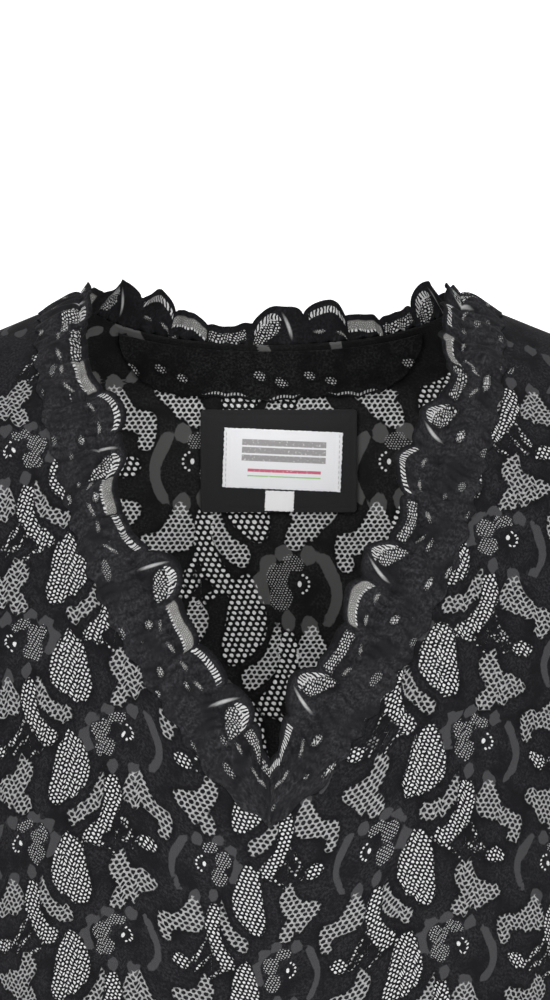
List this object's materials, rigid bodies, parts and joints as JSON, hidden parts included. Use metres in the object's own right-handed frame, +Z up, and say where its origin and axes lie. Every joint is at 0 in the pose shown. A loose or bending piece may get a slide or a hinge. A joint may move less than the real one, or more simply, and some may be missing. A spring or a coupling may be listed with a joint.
{
  "type": "dirndl blouse",
  "caption": "Short-sleeved black lace blouse with a V neck and a gathered scalloped lace ruffle, hollow as worn.",
  "frame": {"origin": "midway between the two neck points, at the height where the shoulders carry the blouse", "axes": "+X to the right as seen from the front, -Y out of the front, +Z up"},
  "size_m": [0.536, 0.228, 0.4216],
  "materials": {
    "lace": "black nylon lace, matt",
    "ruffle_lace": "black nylon edging lace, matt",
    "neck_band": "black lace edge, matt",
    "patch_cloth": "black woven cloth, matt",
    "label_satin": "white woven satin",
    "tab_tape": "white woven tape"
  },
  "bodies": {
    "root": {"front": "lace", "back": "lace", "sleeve_left": "lace", "sleeve_right": "lace", "ruffle_left": "ruffle_lace", "ruffle_back": "ruffle_lace", "ruffle_right": "ruffle_lace", "back_neck_band": "neck_band", "label_patch": "patch_cloth", "woven_label": "label_satin", "size_tab": "tab_tape"}
  },
  "joints": []
}
